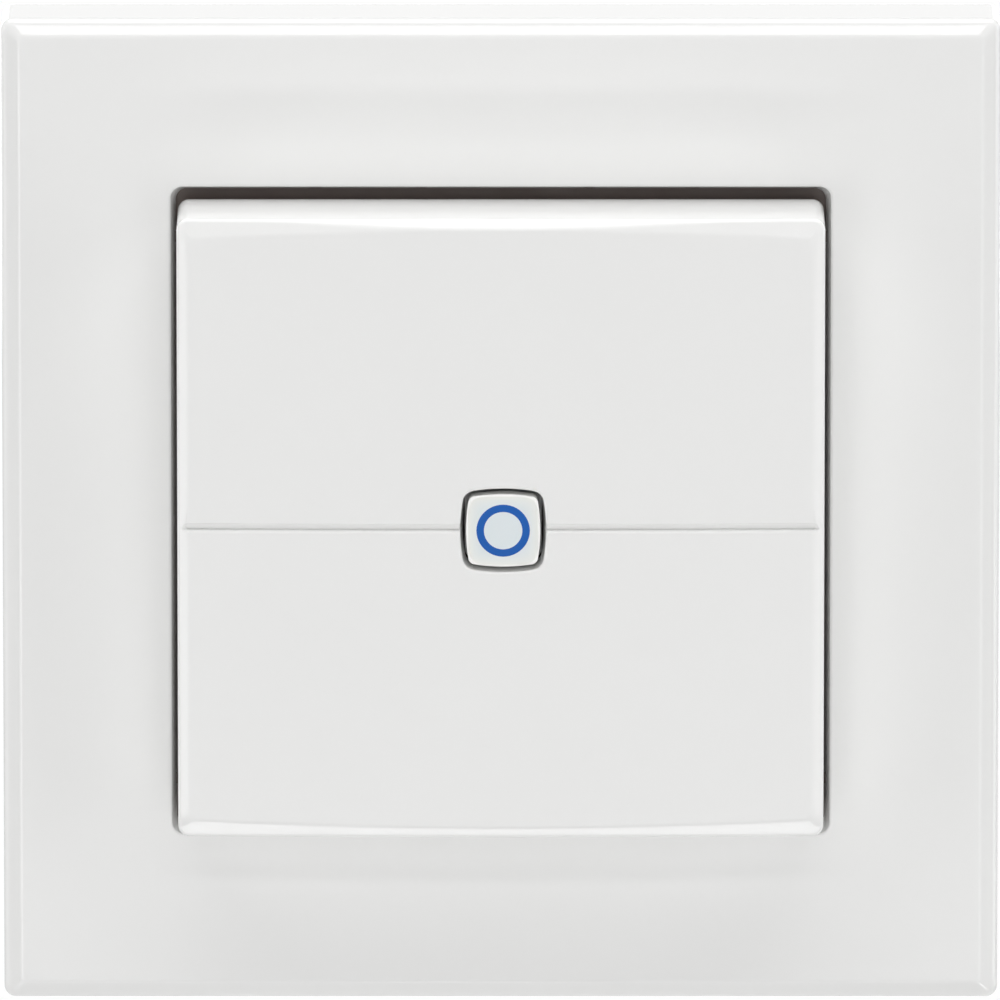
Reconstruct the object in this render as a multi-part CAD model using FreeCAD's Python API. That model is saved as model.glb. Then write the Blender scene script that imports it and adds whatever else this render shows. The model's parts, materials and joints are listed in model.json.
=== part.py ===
"""Wireless remote wall switch: a flat radio transmitter with one large rocker in a bevelled square frame.

Millimetres. The wall is the plane Y = 0, the front faces -Y, +X is to the right and +Z is up. The origin is
the centre of the back, where the mounting plate lies on the wall. Most places are given as a height above
the wall, which is -Y.
"""
import FreeCAD, Part
import math
import os

V = FreeCAD.Vector

# Cover frame
frame_side = 86.0
frame_depth = 8.0
frame_corner_radius = 1.0
frame_face_corner_radius = 0.5
bevel_width = 1.5
bevel_drop = 0.65
frame_wall = 2.0
frame_face_wall = 1.8
opening_side = 56.8
opening_corner_radius = 1.0
opening_edge_radius = 0.2
collar_wall = 1.4
collar_gap = 0.1
frame_rib_wall = 1.0
frame_rib_height = 3.0
frame_rib_spacing = 34.0
tab_width = 8.0
tab_wall = 1.2
tab_nose = 0.9
tab_nose_height = 0.6
tab_gap = 0.2
tab_lift = 0.3

# Mounting plate
plate_margin = 6.0
plate_wall = 2.2
plate_corner_radius = 3.0
plate_ledge_wall = 1.2
screw_edge = 7.0
screw_slot_width = 3.8
screw_slot_length = 8.0
screw_recess_margin = 1.8
screw_recess_depth = 1.0
hook_spacing = 28.0
hook_width = 5.0
hook_wall = 1.2
hook_height = 2.4
hook_nose = 0.6
hook_nose_height = 0.8

# Electronics unit: base and cover
unit_side = 55.8
unit_corner_radius = 1.5
base_floor = 1.0
base_wall = 1.6
cradle_wall = 1.0
cradle_height = 2.6
cradle_gap = 8.0
board_post_radius = 1.2
board_post_x = 16.0
board_post_z = 8.0
flange_wall = 1.2
flange_overlap = 0.8
cover_side = 49.2
cover_wall = 1.2
cover_roof = 1.0
cover_corner_radius = 2.0
locating_rib_spacing = 47.6
locating_rib_width = 1.0
locating_rib_depth = 0.4
locating_rib_rise = 0.5
unit_screw_spacing = 44.8
unit_screw_radius = 1.0
unit_screw_head_radius = 1.9
unit_screw_head_height = 1.3
unit_screw_bite = 2.4
unit_screw_head_edge = 0.4
cross_recess_reach = 1.15
cross_recess_width = 0.5
cross_recess_depth = 0.6
base_column_radius = 3.0
cover_column_radius = 2.2

# Bearings and rocker
pin_radius = 1.0
pin_fit = 0.05
pin_length = 2.3
bearing_wall = 1.6
bearing_width = 4.6
bearing_rise = 0.6
bearing_mouth = 1.8
bearing_gap = 0.4
ear_wall = 1.4
ear_width = 3.4
ear_inset = 2.8
pivot_above_cover = 2.0
rocker_side_gap = 0.6
rocker_end_gap = 1.15
rocker_rise = 8.7
rocker_lean = 2.5
rocker_crown = 0.4
rocker_corner_radius = 1.0
cavity_corner_radius = 0.6
rocker_wall = 1.5
rocker_face_wall = 1.6
rocker_skirt_sink = 0.8
rocker_travel = 2.0
groove_width = 0.95
groove_depth = 0.45
side_band_width = 0.95
side_band_slope = 8.0
end_band_slope = 14.0
top_band_width = 0.85
top_band_arch = 0.85
bottom_band_width = 1.0
bottom_band_arch = 0.6
lip_slope = 52.0
lip_width = 0.7
lip_arch = 0.45
rocker_rib_wall = 1.0
rocker_rib_height = 1.2
rocker_rib_spacing = 24.0
pad_radius = 2.2
window_side = 7.35
window_corner_radius = 1.1
window_bulge_radius = 16.0
window_collar_wall = 0.9
window_collar_height = 1.2

# Light guide and its mark
lens_offset = 0.2
lens_gap = 0.475
lens_head_height = 1.5
lens_edge_radius = 0.15
guide_side = 4.0
guide_fit = 0.05
guide_flange_side = 6.6
guide_flange_height = 0.8
guide_flange_corner = 0.8
ring_outer_radius = 2.3
ring_width = 0.65
ring_height = 0.2

# Board and what it carries
board_side = 46.2
board_wall = 1.0
board_corner_cut = 3.8
board_corner_radius = 0.8
board_sink = 2.2
cell_radius = 10.0
cell_height = 3.2
cell_rim = 1.1
cell_cap_height = 0.25
cell_edge_radius = 0.2
cell_clearance = 0.25
contact_wall = 0.2
contact_width = 4.0
leaf_length = 12.0
leaf_dimple_radius = 1.5
leaf_dimple_height = 0.1
switch_reach = 13.0
switch_side = 6.0
switch_height = 2.3
switch_corner_radius = 0.4
stem_radius = 1.4
stem_fit = 0.08
stem_hole_margin = 0.18
stem_hole_depth = 1.6
stem_spare = 0.15
stem_rise = 1.1
stem_crown_radius = 3.0
stem_pad_gap = 0.05
roof_gap = 0.1
pairing_x = 14.0
pairing_z = -15.0
pairing_side = 4.4
pairing_height = 1.9
pairing_stem_radius = 1.0
pairing_stem_rise = 1.0
pairing_travel = 0.3
pairing_hole_depth = 1.0
pairing_access_radius = 1.6
led_width = 1.6
led_length = 2.0
led_height = 0.8
led_gap = 0.25
led_base_height = 0.5
led_step = 0.25
radio_width = 10.0
radio_length = 9.0
radio_height = 1.8
radio_carrier_wall = 0.5
radio_margin = 0.6
radio_corner_radius = 0.5
radio_x = -14.0
radio_z = 9.0
chip_side = 6.5
chip_height = 0.9
chip_foot_reach = 0.5
chip_feet = 6
chip_x = 12.5
chip_z = 7.0
crystal_length = 4.6
crystal_radius = 0.7
crystal_x = 12.5
crystal_z = 13.0
capacitor_length = 1.6
capacitor_width = 0.9
capacitor_height = 0.8
resistor_length = 1.3
resistor_width = 0.7
resistor_height = 0.45
capacitor_pitch = 3.0
resistor_pitch = 2.4
chip_row_gap = 2.0
chip_cap_width = 0.4
chip_cap_step = 0.05
antenna_radius = 0.3
antenna_height = 0.9
antenna_inset = 2.5
antenna_clear = 1.6
antenna_drop_z = -13.0
antenna_bend_radius = 2.4
antenna_foot_bend = 0.54

# Clearance where pieces clip or seat, overlap inside one moulding, and how far a cut runs past its piece
fit_gap = 0.1
sink_in = 0.2
overcut = 1.0

# Heights above the wall, stacked from the wall outwards
floor_top = plate_wall + base_floor
cell_back = floor_top + contact_wall
cell_front = cell_back + cell_height
board_back = cell_front + leaf_dimple_height + contact_wall
board_front = board_back + board_wall
switch_front = board_front + switch_height
roof_back = switch_front + roof_gap
cover_front = roof_back + cover_roof
flange_back = board_back - board_sink
flange_front = flange_back + flange_wall
collar_back = flange_front + collar_gap
pivot_height = cover_front + pivot_above_cover
stem_tip = cover_front + stem_rise
skirt_edge = frame_depth - rocker_skirt_sink
screw_seat = plate_wall + fit_gap + unit_screw_head_height
face_height = frame_depth + rocker_rise

# Half sizes used in many places
frame_half = frame_side / 2
opening_half = opening_side / 2
rocker_half_x = opening_half - rocker_side_gap
rocker_half_z = opening_half - rocker_end_gap
unit_half = unit_side / 2
flange_half = opening_half + flange_overlap
cover_half = cover_side / 2
plate_half = frame_half - plate_margin
unit_screw_half = unit_screw_spacing / 2
ear_outer = rocker_half_x - ear_inset
ear_inner = ear_outer - ear_wall
screw_reach = plate_half - screw_edge
antenna_half_x = board_side / 2 - antenna_inset
antenna_half_z = switch_reach + switch_side / 2 + antenna_clear
reach_far = 4 * frame_half
SIDES = (0, 90, 180, 270)
CORNERS = ((1, 1), (-1, 1), (-1, -1), (1, -1))


def block(x0, x1, h0, h1, z0, z1):
    """Box between two heights above the wall."""
    return Part.makeBox(x1 - x0, h1 - h0, z1 - z0, V(x0, -h1, z0))


def rod(x, z, radius, h0, h1):
    """Round bar standing square to the wall."""
    return Part.makeCylinder(radius, h1 - h0, V(x, -h0, z), V(0, -1, 0))


def cross_rod(x0, x1, height, z, radius):
    """Round bar along X."""
    return Part.makeCylinder(radius, x1 - x0, V(x0, -height, z), V(1, 0, 0))


def slab(half_x, half_z, radius, h0, h1, x=0.0, z=0.0):
    """Plate with rounded corners, parallel to the wall."""
    body = block(x - half_x, x + half_x, h0, h1, z - half_z, z + half_z)
    upright = [e for e in body.Edges if abs(e.tangentAt(e.FirstParameter).y) > 0.9]
    return body.makeFillet(radius, upright)


def slot(x, z, length, width, along_x, h0, h1):
    """Straight slot with round ends."""
    run = (length - width) / 2
    if along_x:
        ends = ((x - run, z), (x + run, z))
        middle = block(x - run, x + run, h0, h1, z - width / 2, z + width / 2)
    else:
        ends = ((x, z - run), (x, z + run))
        middle = block(x - width / 2, x + width / 2, h0, h1, z - run, z + run)
    for end_x, end_z in ends:
        middle = middle.fuse(rod(end_x, end_z, width / 2, h0, h1))
    return middle.removeSplitter()


def fuse_all(shapes):
    """One clean solid from shapes that meet."""
    whole = shapes[0].multiFuse(shapes[1:]) if len(shapes) > 1 else shapes[0]
    return whole.removeSplitter()


def turned(shape, degrees):
    """Copy turned about the axis that stands square to the wall."""
    copy = shape.copy()
    copy.rotate(V(0, 0, 0), V(0, 1, 0), degrees)
    return copy


def spun(x, z, height, quarter):
    """Point turned by a number of quarter turns about the axis square to the wall."""
    cosine, sine = ((1, 0), (0, 1), (-1, 0), (0, -1))[quarter]
    return V(x * cosine - z * sine, -height, x * sine + z * cosine)


def rounded_square(half, radius, height):
    """Closed wire parallel to the wall, straight sides and round corners."""
    flat = half - radius
    diagonal = flat + radius * math.sqrt(0.5)
    edges = []
    for quarter in range(4):
        start, end = spun(half, flat, height, quarter), spun(flat, half, height, quarter)
        edges.append(Part.makeLine(spun(half, -flat, height, quarter), start))
        edges.append(Part.Arc(start, spun(diagonal, diagonal, height, quarter), end).toShape())
    return Part.Wire(edges)


def bulged_square(half, corner_radius, side_radius, height):
    """Closed wire like a rounded square whose sides are long arcs, all arcs tangent."""
    offset = half - side_radius
    spread = side_radius - corner_radius
    centre = (offset + math.sqrt(2 * spread ** 2 - offset ** 2)) / 2
    reach = math.hypot(centre, centre - offset)
    touch_x = centre / reach * side_radius
    touch_z = offset + (centre - offset) / reach * side_radius
    diagonal = centre + corner_radius * math.sqrt(0.5)
    edges = []
    for quarter in range(4):
        low = spun(touch_z, -touch_x, height, quarter)
        high = spun(touch_z, touch_x, height, quarter)
        end = spun(touch_x, touch_z, height, quarter)
        edges.append(Part.Arc(low, spun(half, 0, height, quarter), high).toShape())
        edges.append(Part.Arc(high, spun(diagonal, diagonal, height, quarter), end).toShape())
    return Part.Wire(edges)


def bulged_prism(half, corner_radius, side_radius, h0, h1, x=0.0):
    """Solid bulged square between two heights."""
    prism = Part.Face(bulged_square(half, corner_radius, side_radius, h0)).extrude(V(0, h0 - h1, 0))
    prism.translate(V(x, 0, 0))
    return prism


def mounting_plate():
    """Plate on the wall: screw slots, a ledge for the frame's tabs and hooks for the electronics unit."""
    plate = slab(plate_half, plate_half, plate_corner_radius, 0, plate_wall)
    recess_width = screw_slot_width + 2 * screw_recess_margin
    recess_length = screw_slot_length + 2 * screw_recess_margin
    past = plate_wall + overcut
    for sign in (1, -1):
        for along_x in (True, False):
            x = sign * screw_reach if along_x else 0
            z = 0 if along_x else sign * screw_reach
            through = slot(x, z, screw_slot_length, screw_slot_width, along_x, -overcut, past)
            recess = slot(x, z, recess_length, recess_width, along_x, plate_wall - screw_recess_depth, past)
            plate = plate.cut(through).cut(recess)
    ledge_front = plate_wall - plate_ledge_wall
    ledge = block(
        plate_half - tab_nose - fit_gap, plate_half + overcut, -overcut, ledge_front, -tab_width, tab_width
    )
    for degrees in SIDES:
        plate = plate.cut(turned(ledge, degrees))
    hooks = []
    foot = unit_half + fit_gap
    for sign in (1, -1):
        for z in (hook_spacing / 2, -hook_spacing / 2):
            low, high = z - hook_width / 2, z + hook_width / 2
            top = plate_wall + hook_height
            post = block(foot, foot + hook_wall, plate_wall, top, low, high)
            nose = block(foot - hook_nose, foot + hook_wall / 2, top - hook_nose_height, top, low, high)
            hook = post.fuse(nose)
            hooks.append(hook if sign > 0 else hook.mirror(V(0, 0, 0), V(1, 0, 0)))
    return fuse_all([plate] + hooks)


def frame():
    """Bevelled cover frame with a collar round the opening, ribs and four snap tabs."""
    edge_height = frame_depth - bevel_drop
    outline = rounded_square(frame_half, frame_corner_radius, 0)
    body = Part.Face(outline).extrude(V(0, -edge_height, 0))
    foot = rounded_square(frame_half, frame_corner_radius, edge_height)
    head = rounded_square(frame_half - bevel_width, frame_face_corner_radius, frame_depth)
    body = body.fuse(Part.makeLoft([foot, head], True, True)).removeSplitter()
    inner_half = frame_half - frame_wall
    hollow_top = frame_depth - frame_face_wall
    collar_half = opening_half + collar_wall
    hollow = slab(inner_half, inner_half, frame_corner_radius, -overcut, hollow_top)
    collar = slab(collar_half, collar_half, opening_corner_radius + collar_wall, collar_back, frame_depth)
    body = body.cut(hollow.cut(collar))
    extras = []
    for degrees in SIDES:
        for sign in (1, -1):
            z = sign * frame_rib_spacing / 2
            rib = block(
                collar_half - sink_in,
                frame_half - frame_wall / 2,
                hollow_top - frame_rib_height,
                hollow_top + sink_in,
                z - frame_rib_wall / 2,
                z + frame_rib_wall / 2,
            )
            extras.append(turned(rib, degrees))
        tab_inner = plate_half + tab_gap
        half = tab_width / 2
        tab = block(tab_inner, tab_inner + tab_wall, tab_lift, hollow_top + sink_in, -half, half)
        nose = block(
            tab_inner - tab_nose, tab_inner + tab_wall / 2, tab_lift, tab_lift + tab_nose_height, -half, half
        )
        extras.append(turned(tab.fuse(nose), degrees))
    body = fuse_all([body] + extras)
    opening = slab(opening_half, opening_half, opening_corner_radius, -overcut, frame_depth + overcut)
    body = body.cut(opening)
    lip = [
        e
        for e in body.Edges
        if abs(e.BoundBox.YMin + frame_depth) < 1e-4
        and abs(e.BoundBox.YMax + frame_depth) < 1e-4
        and max(abs(e.BoundBox.XMax), abs(e.BoundBox.XMin), abs(e.BoundBox.ZMax), abs(e.BoundBox.ZMin))
        < opening_half + 1e-3
    ]
    return body.makeFillet(opening_edge_radius, lip)


def screw_places():
    """Centres of the four screws that hold the unit together."""
    return [(sign_x * unit_screw_half, sign_z * unit_screw_half) for sign_x, sign_z in CORNERS]


def hook_notch(sign, z):
    """Space in the tray's side wall for the nose of one hook of the mounting plate."""
    top = plate_wall + hook_height
    low = top - hook_nose_height - fit_gap
    half = hook_width / 2 + 2 * fit_gap
    notch = block(unit_half - hook_nose, unit_half + overcut, low, top + fit_gap, z - half, z + half)
    return notch if sign > 0 else notch.mirror(V(0, 0, 0), V(1, 0, 0))


def housing_base():
    """Dark tray: battery cradle, board posts, screw columns and notches for the plate's hooks."""
    tray = slab(unit_half, unit_half, unit_corner_radius, plate_wall, flange_back)
    inner_half = unit_half - base_wall
    tray = tray.cut(slab(inner_half, inner_half, unit_corner_radius, floor_top, flange_back + overcut))
    parts = [tray]
    inner_radius = cell_radius + cell_clearance
    cradle_top = floor_top + cradle_height
    cradle = rod(0, 0, inner_radius + cradle_wall, plate_wall, cradle_top)
    cradle = cradle.cut(rod(0, 0, inner_radius, floor_top, cradle_top + overcut))
    half = cradle_gap / 2
    parts.append(cradle.cut(block(-unit_half, unit_half, floor_top, cradle_top + overcut, -half, half)))
    for sign_x, sign_z in CORNERS:
        x, z = sign_x * board_post_x, sign_z * board_post_z
        parts.append(rod(x, z, board_post_radius, plate_wall, board_back))
    for x, z in screw_places():
        parts.append(rod(x, z, base_column_radius, plate_wall, flange_back))
    body = fuse_all(parts)
    for x, z in screw_places():
        body = body.cut(rod(x, z, unit_screw_head_radius + 2 * fit_gap, plate_wall - overcut, screw_seat))
        body = body.cut(rod(x, z, unit_screw_radius + fit_gap, screw_seat - overcut, flange_back + overcut))
    for sign in (1, -1):
        for z in (hook_spacing / 2, -hook_spacing / 2):
            body = body.cut(hook_notch(sign, z))
    return body


def bearing():
    """Snap-in bearing on the right: a post with a round seat that is open towards the front."""
    outer = ear_inner - bearing_gap
    inner = outer - bearing_wall
    half = bearing_width / 2
    top = pivot_height + bearing_rise
    post = block(inner, outer, cover_front - cover_roof / 2, top, -half, half)
    post = post.cut(cross_rod(inner - overcut, outer + overcut, pivot_height, 0, pin_radius + pin_fit))
    half = bearing_mouth / 2
    return post.cut(block(inner - overcut, outer + overcut, pivot_height, top + overcut, -half, half))


def locating_rib(sign):
    """Short rib on the flange's upper side that centres the frame's opening."""
    x = sign * locating_rib_spacing / 2
    half = locating_rib_width / 2
    edge = opening_half - fit_gap / 2
    top = flange_front + locating_rib_rise
    return block(x - half, x + half, flange_front - sink_in, top, edge - locating_rib_depth, edge)


def housing_cover():
    """Dark lid: flange that reaches under the frame, raised box, stem and guide holes, ribs and bearings."""
    flange = slab(flange_half, flange_half, unit_corner_radius, flange_back, flange_front)
    box = slab(cover_half, cover_half, cover_corner_radius, flange_back, cover_front)
    inner_half = cover_half - cover_wall
    inner_radius = cover_corner_radius - cover_wall
    body = flange.fuse(box)
    parts = [body.cut(slab(inner_half, inner_half, inner_radius, flange_back - overcut, roof_back))]
    for x, z in screw_places():
        parts.append(rod(x, z, cover_column_radius, flange_back, cover_front - cover_roof / 2))
    for degrees in SIDES:
        for sign in (1, -1):
            parts.append(turned(locating_rib(sign), degrees))
    right = bearing()
    parts.append(right)
    parts.append(right.mirror(V(0, 0, 0), V(1, 0, 0)))
    body = fuse_all(parts)
    past = cover_front + overcut
    hole_back = roof_back - overcut
    screw_end = flange_back + unit_screw_bite + sink_in
    for x, z in screw_places():
        body = body.cut(rod(x, z, unit_screw_radius, flange_back - overcut, screw_end))
    for sign in (1, -1):
        body = body.cut(rod(0, sign * switch_reach, stem_radius + stem_hole_margin, hole_back, past))
    body = body.cut(rod(pairing_x, pairing_z, pairing_access_radius, hole_back, past))
    half = guide_side / 2 + guide_fit
    return body.cut(block(lens_offset - half, lens_offset + half, hole_back, past, -half, half))


def housing_screws():
    """Four pan-head screws, driven from the back into the cover's columns."""
    screws = []
    head_back = screw_seat - unit_screw_head_height
    for x, z in screw_places():
        head = rod(x, z, unit_screw_head_radius, head_back, screw_seat)
        rim = [e for e in head.Edges if abs(e.BoundBox.YMax + head_back) < 1e-4 and e.BoundBox.YLength < 1e-4]
        head = head.makeFillet(unit_screw_head_edge, rim)
        screw = head.fuse(rod(x, z, unit_screw_radius, screw_seat - sink_in, flange_back + unit_screw_bite))
        for along_x in (True, False):
            screw = screw.cut(
                slot(
                    x, z, 2 * cross_recess_reach, cross_recess_width, along_x,
                    head_back - overcut, head_back + cross_recess_depth,
                )
            )
        screws.append(screw.removeSplitter())
    return Part.makeCompound(screws)


def face_axes(slope):
    """Direction up along a surface that leans out at the top, and its outward normal."""
    angle = math.radians(slope)
    return V(0, -math.sin(angle), math.cos(angle)), V(0, -math.cos(angle), -math.sin(angle))


def crowned(crest, slope, sagitta, sink=0.0):
    """Long round bar whose crest line passes through a point: its skin is a face crowned across X."""
    along, normal = face_axes(slope)
    radius = (rocker_half_x ** 2 + sagitta ** 2) / (2 * sagitta)
    base = crest - normal * radius - along * (reach_far / 2)
    return Part.makeCylinder(radius - sink, reach_far, base, along)


def face_point(z):
    """Point on the crest line of the rocker's face."""
    return V(0, -(face_height + z * math.tan(math.radians(rocker_lean))), z)


def side_chip(sign):
    """Block that leaves a narrow sloping band along one side of the rocker's face."""
    up, out = face_axes(rocker_lean)
    band_x = rocker_half_x - side_band_width
    drop = rocker_crown * (band_x / rocker_half_x) ** 2
    chip = Part.makeBox(reach_far, reach_far / 2, reach_far)
    chip.translate(V(-reach_far / 2, -reach_far / 2, -reach_far / 2))
    chip.rotate(V(0, 0, 0), V(1, 0, 0), rocker_lean)
    chip.rotate(V(0, 0, 0), up, sign * side_band_slope)
    chip.translate(face_point(0) - out * drop + V(sign * band_x, 0, 0))
    return chip


def rocker_body():
    """Outside of the rocker: skirt, leaning crowned face, bands at its ends and sides."""
    body = slab(rocker_half_x, rocker_half_z, rocker_corner_radius, skirt_edge, face_height + rocker_half_z)
    body = body.common(crowned(face_point(0), rocker_lean, rocker_crown))
    band_tan = math.tan(math.radians(end_band_slope))
    top_crown = rocker_crown + top_band_arch * band_tan
    bottom_crown = rocker_crown + bottom_band_arch * band_tan
    top_start = face_point(rocker_half_z - top_band_width)
    bottom_start = face_point(bottom_band_width - rocker_half_z)
    body = body.common(crowned(top_start, rocker_lean - end_band_slope, top_crown))
    body = body.common(crowned(bottom_start, rocker_lean + end_band_slope, bottom_crown))
    along, normal = face_axes(rocker_lean - lip_slope)
    lip_radius = rocker_half_x ** 2 / (2 * lip_arch)
    lip_centre = face_point(rocker_half_z - lip_width) + normal * lip_radius
    body = body.cut(Part.makeCylinder(lip_radius, reach_far, lip_centre - along * (reach_far / 2), along))
    for sign in (1, -1):
        body = body.cut(side_chip(sign))
    return body


def press_pad(sign, roof):
    """Round post under the face that presses one switch stem."""
    pad_end = stem_tip + stem_pad_gap
    return rod(0, sign * switch_reach, pad_radius, pad_end, face_height + rocker_half_z).common(roof)


def rocker_rib(sign, roof):
    """Low rib under the face from end wall to end wall."""
    deep = crowned(face_point(0), rocker_lean, rocker_crown, rocker_face_wall + rocker_rib_height)
    x = sign * rocker_rib_spacing / 2
    end = rocker_half_z - rocker_wall / 2
    front = face_height + rocker_half_z
    rib = block(x - rocker_rib_wall / 2, x + rocker_rib_wall / 2, skirt_edge, front, -end, end)
    return rib.common(roof).cut(deep)


def rocker_ear(roof):
    """Ear under the right side of the face with its pivot pin, which points inwards."""
    half = ear_width / 2
    ear = block(ear_inner, ear_outer, pivot_height, face_height + rocker_half_z, -half, half).common(roof)
    ear = ear.fuse(cross_rod(ear_inner, ear_outer, pivot_height, 0, half))
    return ear.fuse(cross_rod(ear_inner - pin_length, ear_outer, pivot_height, 0, pin_radius))


def window_prism(margin, h0, h1):
    """Rounded-square prism of the rocker's window, larger by a margin all round."""
    half = window_side / 2 + margin
    corner, bulge = window_corner_radius + margin, window_bulge_radius + margin
    return bulged_prism(half, corner, bulge, h0, h1, lens_offset)


def rocker():
    """One moulding: face and skirt, groove, window, ribs, press pads, ears and pivot pins."""
    body = rocker_body()
    inner_x = rocker_half_x - rocker_wall
    inner_z = rocker_half_z - rocker_wall
    front = face_height + rocker_half_z
    cavity = slab(inner_x, inner_z, cavity_corner_radius, skirt_edge - overcut, front)
    cavity = cavity.common(crowned(face_point(0), rocker_lean, rocker_crown, rocker_face_wall))
    body = body.cut(cavity)
    roof = crowned(face_point(0), rocker_lean, rocker_crown, rocker_face_wall / 2)
    extras = []
    for sign in (1, -1):
        extras.append(press_pad(sign, roof))
        extras.append(rocker_rib(sign, roof))
    ear = rocker_ear(roof)
    extras.append(ear)
    extras.append(ear.mirror(V(0, 0, 0), V(1, 0, 0)))
    collar_back = face_height - rocker_face_wall - window_collar_height
    extras.append(window_prism(window_collar_wall, collar_back, front).common(roof))
    body = fuse_all([body] + extras)
    body = body.cut(window_prism(0, skirt_edge, front))
    return body.cut(groove())


def groove():
    """Round-bottomed groove across the face, following its crown between the side bands."""
    radius = (rocker_half_x ** 2 + rocker_crown ** 2) / (2 * rocker_crown)
    reach = rocker_half_x - side_band_width - groove_width / 2
    drop = radius - math.sqrt(radius ** 2 - reach ** 2)
    bar_radius = (groove_depth ** 2 + (groove_width / 2) ** 2) / (2 * groove_depth)
    height = face_height + bar_radius - groove_depth
    start, middle, end = V(-reach, drop - height, 0), V(0, -height, 0), V(reach, drop - height, 0)
    path = Part.Wire([Part.Arc(start, middle, end).toShape()])
    profile = Part.Wire([Part.makeCircle(bar_radius, start, V(1, 0, 0))])
    bar = path.makePipeShell([profile], True, False)
    return bar.multiFuse([Part.makeSphere(bar_radius, start), Part.makeSphere(bar_radius, end)])


def light_guide():
    """Clear guide: square shaft from the lamp, flange on the cover and a rounded head in the window."""
    x = lens_offset
    half = guide_side / 2
    guide_back = board_front + led_height + led_gap
    head_back = face_height - lens_head_height
    shaft = block(x - half, x + half, guide_back, face_height - lens_head_height / 2, -half, half)
    foot_half = guide_flange_side / 2
    foot_top = cover_front + guide_flange_height
    foot = slab(foot_half, foot_half, guide_flange_corner, cover_front, foot_top, x)
    head = window_prism(-lens_gap, head_back, face_height + window_side)
    normal = face_axes(rocker_lean)[1]
    corner = V(-reach_far / 2, -reach_far / 2, -reach_far / 2)
    trim = Part.makeBox(reach_far, reach_far / 2, reach_far, corner)
    trim.rotate(V(0, 0, 0), V(1, 0, 0), rocker_lean)
    trim.translate(face_point(0))
    head = head.cut(trim)
    front = max(head.Faces, key=lambda face: face.CenterOfMass.dot(normal))
    head = head.makeFillet(lens_edge_radius, front.Edges)
    return fuse_all([shaft, foot, head]).cut(ring_seat())


def ring_seat():
    """Round ring let into the head of the light guide."""
    normal = face_axes(rocker_lean)[1]
    base = face_point(0) + V(lens_offset, 0, 0) - normal * ring_height
    outer = Part.makeCylinder(ring_outer_radius, ring_height, base, normal)
    inner = Part.makeCylinder(ring_outer_radius - ring_width, ring_height, base, normal)
    return outer.cut(inner)


def circuit_board():
    """Square board with its corners cut away for the screw columns."""
    half = board_side / 2
    board = slab(half, half, board_corner_radius, board_back, board_front)
    for sign_x, sign_z in CORNERS:
        x, z = sign_x * half, sign_z * half
        board = board.cut(
            block(
                x - board_corner_cut, x + board_corner_cut, board_back - overcut, board_front + overcut,
                z - board_corner_cut, z + board_corner_cut,
            )
        )
    return board


def coin_cell():
    """Button cell: can and smaller cap in one closed body."""
    can = rod(0, 0, cell_radius, cell_back, cell_front - cell_cap_height)
    rims = [e for e in can.Edges if e.BoundBox.YLength < 1e-4]
    can = can.makeFillet(cell_edge_radius, rims)
    cap_radius = cell_radius - cell_rim
    return can.fuse(rod(0, 0, cap_radius, cell_front - 2 * cell_cap_height, cell_front)).removeSplitter()


def battery_contact_positive():
    """Strap under the cell with a leg up each side to the board."""
    leg = cell_radius + cell_clearance + contact_wall
    half = contact_width / 2
    strap = block(-leg, leg, floor_top, cell_back, -half, half)
    right = block(leg - contact_wall, leg, floor_top, board_back, -half, half)
    left = block(-leg, contact_wall - leg, floor_top, board_back, -half, half)
    return fuse_all([strap, right, left])


def battery_contact_negative():
    """Leaf on the board's back with a dimple that presses on the cell's cap."""
    leaf = slab(leaf_length / 2, contact_width / 2, contact_width / 5, board_back - contact_wall, board_back)
    dimple = rod(0, 0, leaf_dimple_radius, cell_front, board_back - contact_wall / 2)
    return leaf.fuse(dimple).removeSplitter()


def push_switch_body(z):
    """Case of a long-travel push switch with the hole that its stem slides in."""
    half = switch_side / 2
    body = slab(half, half, switch_corner_radius, board_front, switch_front, 0, z)
    return body.cut(rod(0, z, stem_radius + stem_fit, switch_front - stem_hole_depth, switch_front + overcut))


def push_switch_stem(z):
    """Stem with a crowned tip that meets the rocker's press pad."""
    back = switch_front - stem_hole_depth + stem_spare + switch_reach * math.radians(rocker_travel)
    stem = rod(0, z, stem_radius, back, stem_tip + overcut)
    ball = Part.makeSphere(stem_crown_radius, V(0, -(stem_tip - stem_crown_radius), z))
    low = rod(0, z, stem_radius, back, stem_tip - stem_crown_radius / 2)
    return stem.common(ball).fuse(low).removeSplitter()


def pairing_switch_body():
    """Case of the small button that is reached through the cover with the rocker off."""
    half = pairing_side / 2
    front = board_front + pairing_height
    body = slab(half, half, switch_corner_radius, board_front, front, pairing_x, pairing_z)
    hole_back = front - pairing_hole_depth
    return body.cut(rod(pairing_x, pairing_z, pairing_stem_radius + stem_fit, hole_back, front + overcut))


def pairing_switch_stem():
    """Round stem of the pairing button."""
    front = board_front + pairing_height
    back = front - pairing_hole_depth + pairing_travel + fit_gap
    return rod(pairing_x, pairing_z, pairing_stem_radius, back, front + pairing_stem_rise)


def indicator_led():
    """Surface lamp under the light guide: base and a slightly smaller lens."""
    x, half_x, half_z = lens_offset, led_width / 2, led_length / 2
    base = block(x - half_x, x + half_x, board_front, board_front + led_base_height, -half_z, half_z)
    in_x, in_z = half_x - led_step, half_z - led_step
    top = block(x - in_x, x + in_x, board_front, board_front + led_height, -in_z, in_z)
    return base.fuse(top).removeSplitter()


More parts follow.
